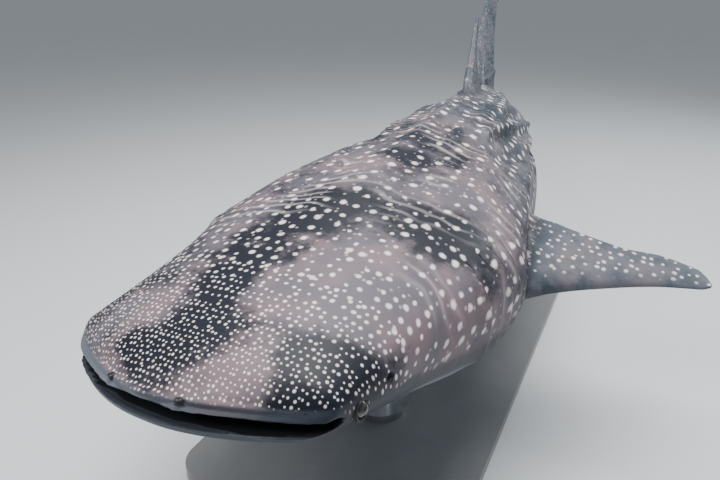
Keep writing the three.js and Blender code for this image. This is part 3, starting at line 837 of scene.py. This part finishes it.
class Hide(Material):
    """The spotted skin, made from the maps and masks that the skin's mesh carries."""

    def __init__(self, colours):
        super().__init__("hide")
        self.colours = {key: tuple(getattr(colours, key)) for key in type(colours).__annotations__}
        self.lay = self.node("ShaderNodeUVMap", {"uv_map": "lay"})
        self.crown = self.node("ShaderNodeUVMap", {"uv_map": "crown"})
        self.inside, self.crease, self.turn = self.axes(self.attribute("marks", 1))
        self.patch, self.shore, self.chord = self.axes(self.attribute("place", 1))
        self.where = self.solid()
        self.along = self.axes(self.lay)[0]
        self.on_fin = self.along.math("GREATER_THAN", FIN_SHIFT / 2)
        self.on_body = 1 - self.on_fin
        wobble = self.noise(self.where, 30.0, 1.0)
        wobble = Wire(self, wobble.socket.node.outputs["Color"])
        self.wobble = self.vector("SUBTRACT", wobble, (0.5, 0.5, 0.5))
        self.broad = self.noise(self.where, 3.0, 3.0, 0.55)
        self.middle = self.noise(self.where, 11.0, 4.0, 0.62)
        self.fine = self.noise(self.where, 95.0, 3.0, 0.65)

    def spots(self, base, start, end, pitch, share, jitter=JITTER, seed=0.0):
        """Whole spots whose centres lie between two places, softer at the rim than in the middle."""
        shake = self.vector("SCALE", self.wobble, 0.22 * pitch)
        place = self.vector("ADD", self.vector("ADD", base, shake), (seed, seed, 0))
        cells = self.node(
            "ShaderNodeTexVoronoi", {"voronoi_dimensions": "2D", "feature": "F1"},
            {"Vector": place, "Scale": 1 / pitch, "Randomness": jitter},
        )
        outputs = cells.socket.node.outputs
        centre = self.axes(Wire(self, outputs["Position"]))[0] - seed
        chance = self.axes(Wire(self, outputs["Color"]))
        size = share * (0.60 + 0.50 * chance[0])
        dot = 1 - self.fade(cells, size * 0.50, size * 1.45)
        within = centre.math("GREATER_THAN", start) * centre.math("LESS_THAN", end)
        return dot * within * (0.78 + 0.22 * chance[2]), chance[1]

    def all_spots(self):
        """The body's large and small spots and the fins' spots."""
        rows = [(self.crown, band) for band in CROWN_BANDS] + [(self.lay, band) for band in SPOT_BANDS]
        dots = None
        for base, band in rows:
            row = self.spots(base, *band)[0]
            dots = row if dots is None else dots.math("MAXIMUM", row)
        small, chance = self.spots(self.lay, *SMALL_SPOTS)
        small = small * chance.math("GREATER_THAN", 0.45) * self.on_body
        on_fins = self.spots(self.lay, *FIN_SPOTS)[0] * self.on_fin * self.fade(self.chord, 0.14, 0.32)
        return dots * self.on_body, small, on_fins * (0.22 + 0.5 * self.chord.math("LESS_THAN", 0.999))

    def back_lines(self):
        """Soft pale lines that cross the back, wavy and broken, and a darker seam beside each."""
        drift, drift_fine = self.noise(self.lay, 2.6), self.noise(self.lay, 9.0, 1.0)
        phase = (self.along + 0.30 * drift + 0.035 * drift_fine) / 0.062
        stripe = phase.math("PINGPONG", 0.5)
        behind = self.fade(self.along, 0.60, 0.85) * (1 - self.fade(self.along, 2.4, 3.2))
        gate = self.fade(self.noise(self.lay, 3.1, 1.0), 0.48, 0.66) * behind * self.on_body
        return (1 - self.fade(stripe, 0.03, 0.24)) * gate, self.fade(stripe, 0.34, 0.5) * gate

    def ground(self):
        """Dark and mauve patches with broken edges, bluer towards the tail and on the fins."""
        light = 0.40 * self.broad + 0.46 * self.middle + 0.14 * self.fine - 0.24 * self.patch
        level = self.fade(light, 0.37, 0.60)
        rosy = self.fade(self.noise(self.where, 4.2), 0.42, 0.62) * level
        rear = (self.fade(self.along, 1.3, 3.4) * self.on_body).math("MAXIMUM", self.on_fin)
        colour = self.mix(level, self.colours["dark"], self.colours["ground"])
        colour = self.mix(0.75 * rosy, colour, self.colours["rosy"])
        return self.mix(0.45 * rear, colour, self.colours["rear"])

    def belly(self):
        belly = self.colours["belly"]
        return self.mix(self.fade(self.middle, 0.35, 0.65), shade(belly, 0.86), belly)

    def lips(self):
        from_left = self.axes(self.crown)[1]
        pale = (1 - self.fade(from_left, -0.02, 0.26)) * self.chord * self.fade(self.broad, 0.2, 0.5)
        return self.mix(pale, self.colours["lip_dark"], self.colours["lip_pale"])

    def build(self):
        dots, small, on_fins = self.all_spots()
        lines, seams = self.back_lines()
        topside = 1 - self.fade(self.turn, 0.50, 0.585)
        show = topside * (1 - self.shore)
        dark, white = self.colours["dark"], self.colours["spots"]
        layers = (
            (seams * 0.30 * show, dark),
            (lines * 0.24 * show, white),
            (small * 0.30 * show, white),
            (0.92 * dots * show, white),
            (on_fins * topside, white),
            # Painted shadow: a dark band just below the widest part of the flank, where the underside turns
            # away from the light above.
            (0.8 * self.fade(self.turn, 0.515, 0.57), shade(dark, 1.3)),
            (self.fade(self.turn, 0.60, 0.70), self.belly()),
            (0.88 * self.shore, self.lips()),
            # Painted shade in the gill slits, the pits and round the fin roots, and the barbels and lid rims
            # coloured dark.
            (0.88 * self.crease, shade(dark, 0.4)),
            # Painted shade: the mouth's inside in near black, with a share of it on the mouth's rim.
            (self.inside, self.colours["lining"]),
        )
        colour = self.ground()
        for mask, over in layers:
            colour = self.mix(mask, colour, over)
        grain = self.node(
            "ShaderNodeTexVoronoi", {"voronoi_dimensions": "3D", "feature": "SMOOTH_F1"},
            {"Vector": self.where, "Scale": 210.0},
        )
        height = grain * 0.25 + dots * 0.12 - seams * 0.2
        for scale, detail, roughness, share in ((48.0, 3.0, 0.6, 0.6), (10.0, 2.0, 0.5, 1.8)):
            height = height + self.noise(self.where, scale, detail, roughness) * share
        rough = 0.48 + 0.16 * (self.fine - 0.5) - 0.05 * dots + 0.12 * self.inside
        return self.finish(**{
            "Base Color": colour, "Roughness": rough, "Normal": self.bump(height, 0.35, 0.004),
            "Specular IOR Level": 0.25, "Coat Weight": 0.06, "Coat Roughness": 0.28,
        })


def eye_material():
    m = Material("eye")
    ring, solid = m.attribute("pupil", 2), m.solid()
    rays = m.noise(solid, 420.0, 2.0, 0.6)
    iris = m.mix(m.fade(rays, 0.3, 0.7), (0.014, 0.014, 0.014), (0.045, 0.042, 0.038))
    colour = m.mix(m.fade(ring, 0.40, 0.46), (0.002, 0.002, 0.003), iris)
    colour = m.mix(m.fade(ring, 0.60, 0.70), colour, (0.010, 0.011, 0.015))
    rough = 0.08 + 0.05 * m.noise(solid, 60.0, 1.0)
    return m.finish(**{"Base Color": colour, "Roughness": rough, "Coat Weight": 0.7, "Coat Roughness": 0.04})


def steel_material():
    m = Material("brushed_steel")
    solid = m.solid()
    x, y, z = m.axes(solid)
    brushed = m.node("ShaderNodeCombineXYZ", None, {0: x * 4.0, 1: y * 4.0, 2: z * 900.0})
    lines = m.noise(brushed, 1.0, 2.0, 0.6)
    haze = m.noise(solid, 7.0, 3.0, 0.6)
    colour = m.mix(m.fade(haze, 0.35, 0.7), (0.44, 0.45, 0.46), (0.58, 0.59, 0.60))
    rough = 0.30 + 0.12 * (lines - 0.5) + 0.10 * (haze - 0.5)
    normal = m.bump(lines, 0.12, 0.001)
    return m.finish(**{"Base Color": colour, "Metallic": 1.0, "Roughness": rough, "Normal": normal})


def base_material():
    m = Material("base_paint")
    solid = m.solid()
    cloud = m.noise(solid, 2.4, 4.0, 0.6)
    dust = m.fade(m.noise(solid, 5.5, 5.0, 0.7), 0.52, 0.8)
    colour = m.mix(m.fade(cloud, 0.3, 0.7), (0.145, 0.150, 0.156), (0.172, 0.177, 0.183))
    colour = m.mix(dust * 0.18, colour, (0.32, 0.32, 0.31))
    rough = 0.42 + 0.12 * (cloud - 0.5) + 0.14 * dust
    normal = m.bump(m.noise(solid, 260.0, 1.0), 0.08, 0.001)
    coat = {"Coat Weight": 0.15, "Coat Roughness": 0.2}
    return m.finish(**{"Base Color": colour, "Roughness": rough, "Normal": normal}, **coat)


def floor_material():
    m = Material("floor")
    colour = m.mix(m.noise(m.solid(), 0.8, 3.0), (0.60, 0.62, 0.64), (0.64, 0.66, 0.68))
    return m.finish(**{"Base Color": colour, "Roughness": 0.75})


# Places on the body for every corner of the finished skin.
class BodyMap:
    """Tables that turn a point on the skin into its share of length, angle and arc lengths."""

    def __init__(self):
        self.s = stretches((0, 0.03, 60), (0.03, 0.8, 308))
        angle = np.linspace(-180, 180, 361)
        middle = len(angle) // 2
        plain = skin(self.s[:, None], angle[None])
        steps = np.linalg.norm(np.diff(plain, axis=1), axis=-1)
        arc = np.concatenate([np.zeros((len(self.s), 1)), np.cumsum(steps, axis=1)], 1)
        arc = arc - arc[:, middle:middle + 1]
        long = np.linalg.norm(np.diff(plain[:, middle], axis=0), axis=-1)
        self.long = np.concatenate([[0], np.cumsum(long)])
        left, back = body_coordinates(plain, self.s[:, None])
        phi = np.unwrap(np.arctan2(left, back), axis=1)
        even = np.radians(angle)
        turns = [np.maximum.accumulate(row - row[middle]) for row in phi]
        self.arc_at = np.array([np.interp(even, turn, row) for turn, row in zip(turns, arc)])
        self.angle_at = np.array([np.interp(even, turn, angle) for turn in turns])

    def locate(self, points):
        s = np.clip((points - spine_point(0))[:, 1] / LENGTH, 0, 1)
        for _ in range(8):
            s = np.clip(s + ((points - spine_point(s)) * directions(s)[0]).sum(-1) / LENGTH, 0, self.s[-1])
        left, back = body_coordinates(points, s)
        row = np.interp(s, self.s, np.arange(len(self.s)))
        i = np.minimum(row.astype(int), len(self.s) - 2)
        f = row - i
        column = np.degrees(np.arctan2(left, back)) + 180
        j = np.clip(column.astype(int), 0, 359)
        g = column - j

        def sample(table):
            upper = table[i, j] * (1 - g) + table[i, j + 1] * g
            lower = table[i + 1, j] * (1 - g) + table[i + 1, j + 1] * g
            return upper * (1 - f) + lower * f

        return s, sample(self.angle_at), sample(self.arc_at), np.interp(s, self.s, self.long)


def read(items, key, size=1, kind=np.int32):
    values = np.empty(len(items) * size, kind)
    items.foreach_get(key, values)
    return values if size == 1 else values.reshape(-1, size)


class PartMap:
    """A mesh's points, edges and corners, and the part that each corner belongs to."""

    def __init__(self, mesh):
        self.points = read(mesh.vertices, "co", 3, float)
        self.edges = read(mesh.edges, "vertices", 2)
        self.corners = read(mesh.loops, "vertex_index")
        self.part = np.repeat(read(mesh.polygons, "material_index"), read(mesh.polygons, "loop_total"))

    def corners_of(self, *names):
        return np.isin(self.part, [PARTS.index(name) for name in names])

    def vertices_of(self, *names):
        found = np.zeros(len(self.points), bool)
        found[self.corners[self.corners_of(*names)]] = True
        return found

    def seam(self, first, second):
        """Vertices that faces of both groups of parts share."""
        return np.nonzero(self.vertices_of(*first) & self.vertices_of(*second))[0]


def distance_to(points, seam, limit):
    tree = KDTree(len(seam))
    for k, index in enumerate(seam):
        tree.insert(points[index], k)
    tree.balance()
    far = np.full(len(points), limit * 2)
    low, high = points[seam].min(0) - limit, points[seam].max(0) + limit
    near = np.nonzero(((points > low) & (points < high)).all(1))[0]
    for index in near:
        far[index] = tree.find(points[index])[2]
    return far


def relax(points, edges, weight, rounds):
    """Moves vertices towards the middle of their neighbours, as far as their weight says."""
    count = len(points)
    degree = np.bincount(edges.ravel(), minlength=count)[:, None]
    for _ in range(rounds):
        total = np.zeros_like(points)
        for k in range(3):
            total[:, k] = np.bincount(edges[:, 0], points[edges[:, 1], k], count)
            total[:, k] += np.bincount(edges[:, 1], points[edges[:, 0], k], count)
        points = points + (total / np.maximum(degree, 1) - points) * (0.6 * weight)[:, None]
    return points


WELD = {"merge": 0.0006, "shortest": 0.0003}
# Share of the lining's near-black colour on the mouth's rim, painted shade, and of the pale lip on the lower
# jaw.
MOUTH_RIM_SHADE, JAW_SHARE = 0.35, 0.2
ROOT_ROUNDS, LIP_ROUNDS = 22, 5
# Painted shade round the fin roots: how far it reaches, how dark it is, and how far from the roots it is
# measured.
ROOT_SHADE = {"reach": 0.035, "depth": 0.55, "looked_at": 0.12}
# The crown map's middle: share of the length and height, and how far it stretches down the sides.
CROWN = {"place": 0.09, "high": 0.041, "stretch": 0.75}
FIN_ROW = 3.1
# Where the fins' colour lies from the back, 0, to the belly, 1. The lower face of a paired fin adds some. The
# anal fin's value lies in the painted shadow band under the flank.
FIN_TURN = {"upper": 0.3, "lower_adds": 0.45, "anal": 0.56}


def crown_map(points):
    """The head laid flat round a point on top of it: distances aft and to the left."""
    tail, back, left = directions(np.array(CROWN["place"]))
    spread = points - spine_point(CROWN["place"])
    flat = np.stack([spread @ tail, spread @ left], 1)
    reach = np.linalg.norm(flat, axis=1)
    drop = np.maximum(0, CROWN["high"] * LENGTH - spread @ back)
    return flat * ((reach + CROWN["stretch"] * drop) / np.maximum(reach, 1e-6))[:, None]


class SHARK_OT_skin(bpy.types.Operator):
    """Model the whole skin: body, fins, lips and mouth in one surface"""

    bl_idname = "shark.skin"
    bl_label = "Skin"

    def execute(self, context):
        body = set_part(body_skin(), "body")
        frames = {}
        for name, (place, angle, lean, sweep, twist, span, thick, edges, rows) in FINS.items():
            frames[name] = (body_fin_frame(place, angle, lean, sweep, twist), span)
            combine(body, fin_solid(name, frames[name][0], span, thick, edges, rows), name)
        for name, (rise, span, thick) in TAIL_LOBES.items():
            frames[name] = (tail_frame(rise), span)
            combine(body, fin_solid(name, frames[name][0], span, thick, name, TAIL_ROWS), name)
        combine(body, mouth_cutter(), "lining", "DIFFERENCE")
        for roll in (upper_lip(), lower_lip()):
            combine(body, roll, "lips")
        for side in (1, -1):
            combine(body, lid_ring(side), "lids")
            combine(body, barbel(side), "barbels")
            for name, centre, radii in pits(side):
                combine(body, ball(name, centre, radii), "sockets", "DIFFERENCE")
        root_far = self.soften(body, context.scene.shark_sizes)
        self.measure(body, frames, root_far)
        activate(body)
        body.data.materials.clear()
        body.data.materials.append(Hide(context.scene.shark_colours).build())
        bpy.ops.object.shade_smooth()
        nodes = [row["node"] for row in frame["record"]["subparts"] if row["material_slot"] == "hide"]
        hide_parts(*nodes)
        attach(body, "root")
        return {"FINISHED"}

    def soften(self, body, sizes):
        """Rounds fin roots, lips and the rims of pits. Returns how far each vertex is from a root."""
        bm = welded(body.data, WELD["merge"], WELD["shortest"])
        bm.to_mesh(body.data)
        bm.free()
        parts = PartMap(body.data)
        roots = parts.seam(["body"], [*FINS, *TAIL_LOBES])
        far = distance_to(parts.points, roots, sizes.fin_blend)
        points = relax(parts.points, parts.edges, 1 - smooth(far, 0, sizes.fin_blend), ROOT_ROUNDS)
        rims = parts.seam(["body", "lips", "lids", "barbels"], ["lining", "sockets"])
        joins = parts.seam(["body"], ["lips", "lids"])
        far = distance_to(points, np.union1d(rims, joins), sizes.lip_softness)
        weight = 1 - smooth(far, 0.2 * sizes.lip_softness, sizes.lip_softness)
        points = relax(points, parts.edges, weight, LIP_ROUNDS)
        body.data.vertices.foreach_set("co", points.ravel())
        body.data.update()
        return distance_to(points, roots, ROOT_SHADE["looked_at"])

    def measure(self, body, frames, root_far):
        """Writes the maps and masks that the material reads."""
        parts = PartMap(body.data)
        points, corners = parts.points, parts.corners
        s, angle, arc, long = BodyMap().locate(points)
        lay = np.stack([long, arc], 1)[corners]
        round_body = np.abs(angle) / 180
        turn, chord = round_body.copy(), np.ones(len(points))
        for name, (where, span) in frames.items():
            mine, verts = parts.corners_of(name), parts.vertices_of(name)
            spread = points - where["root"]
            u, v = spread @ where["along"], spread @ where["out"]
            moved = np.stack([u + FIN_SHIFT, v + FIN_ROW * PARTS.index(name)], 1)
            lay[mine] = moved[corners[mine]]
            turn[verts] = FIN_TURN["anal" if name == "anal_fin" else "upper"]
            if name.startswith(("pectoral", "pelvic")):
                lower = smooth(-(spread @ where["face"]), -0.004, 0.006)
                turn[verts] += FIN_TURN["lower_adds"] * lower[verts]
                at, front, rear = EDGES[FINS[name][-2]]
                start, stop = (through(at, edge, v[verts] / span) * span for edge in (front, rear))
                chord[verts] = (u[verts] - start) / (stop - start)
        # Painted shade of the mouth: 1 on the lining and a share on the rim.
        inside = parts.vertices_of("lining").astype(float)
        inside[parts.vertices_of("body", "lips")] *= MOUTH_RIM_SHADE
        # Painted shade: darkens the gill slits, the pits and the skin round the fin roots; the barbels and
        # lid rims are coloured dark as well.
        crease = gill_relief(s, np.abs(angle))[1]
        crease[parts.vertices_of("sockets", "barbels", "lids")] = 1
        root_shade = ROOT_SHADE["depth"] * (1 - smooth(root_far, 0, ROOT_SHADE["reach"]))
        crease = np.maximum(crease, root_shade * (turn < 0.9))
        lift, near = body_coordinates(points, s)[1] - GAPE_TOP, s < HEAD_END
        band = 1 - smooth(np.abs(lift - LIP_BAND["middle"]), *LIP_BAND["half"])
        shore = band * (1 - smooth(s, *LIP_BAND["ends"]))
        shore = np.maximum(shore, (1 - smooth(lift, *LIP_BAND["jaw"])) * near)
        chord = np.where((lift < -MOUTH["gape"]) & near, JAW_SHARE, chord)
        patch = np.zeros(len(points))
        for along, across, length, width, strength in PATCHES:
            patch += strength * np.exp(-(((long - along) / length) ** 2) - ((arc - across) / width) ** 2)
        on_body = parts.vertices_of("body", "lips", "lids")
        body.data.uv_layers.new(name="lay").data.foreach_set("uv", lay.ravel())
        body.data.uv_layers.new(name="crown").data.foreach_set("uv", crown_map(points)[corners].ravel())
        write_vectors(body.data, "marks", inside, crease, turn)
        write_vectors(body.data, "place", patch * on_body, shore * on_body, chord)


def write_vectors(mesh, name, *values):
    layer = mesh.attributes.new(name, "FLOAT_VECTOR", "POINT")
    layer.data.foreach_set("vector", np.stack(values, 1).astype(np.float32).ravel())


class SHARK_OT_eyes(bpy.types.Operator):
    """Model both eyes with iris and pupil"""

    bl_idname = "shark.eyes"
    bl_label = "Eyes"

    def execute(self, context):
        material = eye_material()
        for side, node in ((1, "eye_left"), (-1, "eye_right")):
            centre, side_way = eye_centre(side), directions(np.array(EYE["place"]))[2] * side
            made = ball(node + "_wet", centre, (EYE["radius"],) * 3, 40)
            points = read(made.data.vertices, "co", 3, float)
            facing = (points - centre) @ side_way / EYE["radius"]
            points = points + side_way * (CORNEA["bulge"] * smooth(facing, *CORNEA["rim"]))[:, None]
            made.data.vertices.foreach_set("co", points.ravel())
            pupil = (np.sqrt(np.clip(1 - facing**2, 0, 1)) + (facing < 0)).astype(np.float32)
            made.data.attributes.new("pupil", "FLOAT", "POINT").data.foreach_set("value", pupil)
            made.data.materials.append(material)
            activate(made)
            bpy.ops.object.shade_smooth()
            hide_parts(node)
            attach(made, "root")
        return {"FINISHED"}


class SHARK_OT_stand(bpy.types.Operator):
    """Finish the stand's base, feet and rods"""

    bl_idname = "shark.stand"
    bl_label = "Stand"

    def execute(self, context):
        finishes = {"steel": steel_material(), "base": base_material()}
        for row in frame["record"]["subparts"]:
            if row["material_slot"] in finishes:
                node = frame["nodes"][row["node"]]
                for slot in node.material_slots:
                    slot.material = finishes[row["material_slot"]]
        return {"FINISHED"}


class SHARK_OT_stage(bpy.types.Operator):
    """Set up the floor, the soft light and the camera"""

    bl_idname = "shark.stage"
    bl_label = "Stage"

    def execute(self, context):
        deselect_all()
        bpy.ops.mesh.primitive_plane_add(size=context.scene.shark_sizes.floor_size, location=(0, 0, 0))
        floor = bpy.context.object
        floor.name = "floor"
        floor.data.materials.append(floor_material())
        world = bpy.data.worlds.new("studio")
        context.scene.world = world
        world.use_nodes = True
        world.node_tree.nodes["Background"].inputs[0].default_value = (0.80, 0.86, 0.92, 1)
        world.node_tree.nodes["Background"].inputs[1].default_value = 0.42
        head = spine_point(0.12)
        lights = (
            ("overhead", (0.0, -0.9, 6.0), (0, -1.0, 0.9), 4.0, 560, (1, 0.985, 0.96)),
            ("key", (-2.2, -6.4, 5.6), tuple(head), 2.2, 260, (1, 0.97, 0.94)),
            ("rim", (3.5, 4.5, 4.5), (0, 0.5, 1), 3.5, 170, (0.9, 0.95, 1)),
        )
        for name, where, target, size, watts, tint in lights:
            aim = (Vector(target) - Vector(where)).to_track_quat("-Z", "Y").to_euler()
            bpy.ops.object.light_add(type="AREA", location=where, rotation=aim)
            light = bpy.context.object
            light.name = name
            light.data.size = size
            light.data.energy = watts
            light.data.color = tint
        bpy.ops.object.camera_add(
            location=OFFSET + np.array(CAMERA["from_snout"]),
            rotation=(math.radians(90 - CAMERA["height"]), 0, math.radians(CAMERA["azimuth"])),
        )
        camera = bpy.context.object
        camera.data.sensor_width = 36
        camera.data.lens = CAMERA["focal_pixels"] / PICTURE_WIDTH * camera.data.sensor_width
        camera.data.clip_end = 1000
        context.scene.camera = camera
        return {"FINISHED"}


class SHARK_PT_panel(bpy.types.Panel):
    """Lists the steps that build the model"""

    bl_idname = "SHARK_PT_panel"
    bl_label = "Whale Shark"
    bl_space_type = "VIEW_3D"
    bl_region_type = "UI"
    bl_category = "Whale Shark"

    def draw(self, context):
        for step in STEPS:
            self.layout.operator(step.bl_idname)
        for group in (context.scene.shark_sizes, context.scene.shark_colours):
            for key in type(group).__annotations__:
                self.layout.prop(group, key)


STEPS = (SHARK_OT_stage, SHARK_OT_skin, SHARK_OT_eyes, SHARK_OT_stand)
CLASSES = (SHARK_sizes, SHARK_colours, *STEPS, SHARK_PT_panel)


def register():
    for kind in CLASSES:
        bpy.utils.register_class(kind)
    bpy.types.Scene.shark_sizes = bpy.props.PointerProperty(type=SHARK_sizes)
    bpy.types.Scene.shark_colours = bpy.props.PointerProperty(type=SHARK_colours)


def unregister():
    del bpy.types.Scene.shark_colours
    del bpy.types.Scene.shark_sizes
    for kind in reversed(CLASSES):
        bpy.utils.unregister_class(kind)


def main():
    register()
    bpy.ops.shark.stage()
    bpy.ops.shark.skin()
    bpy.ops.shark.eyes()
    bpy.ops.shark.stand()


if __name__ == "__main__":
    main()
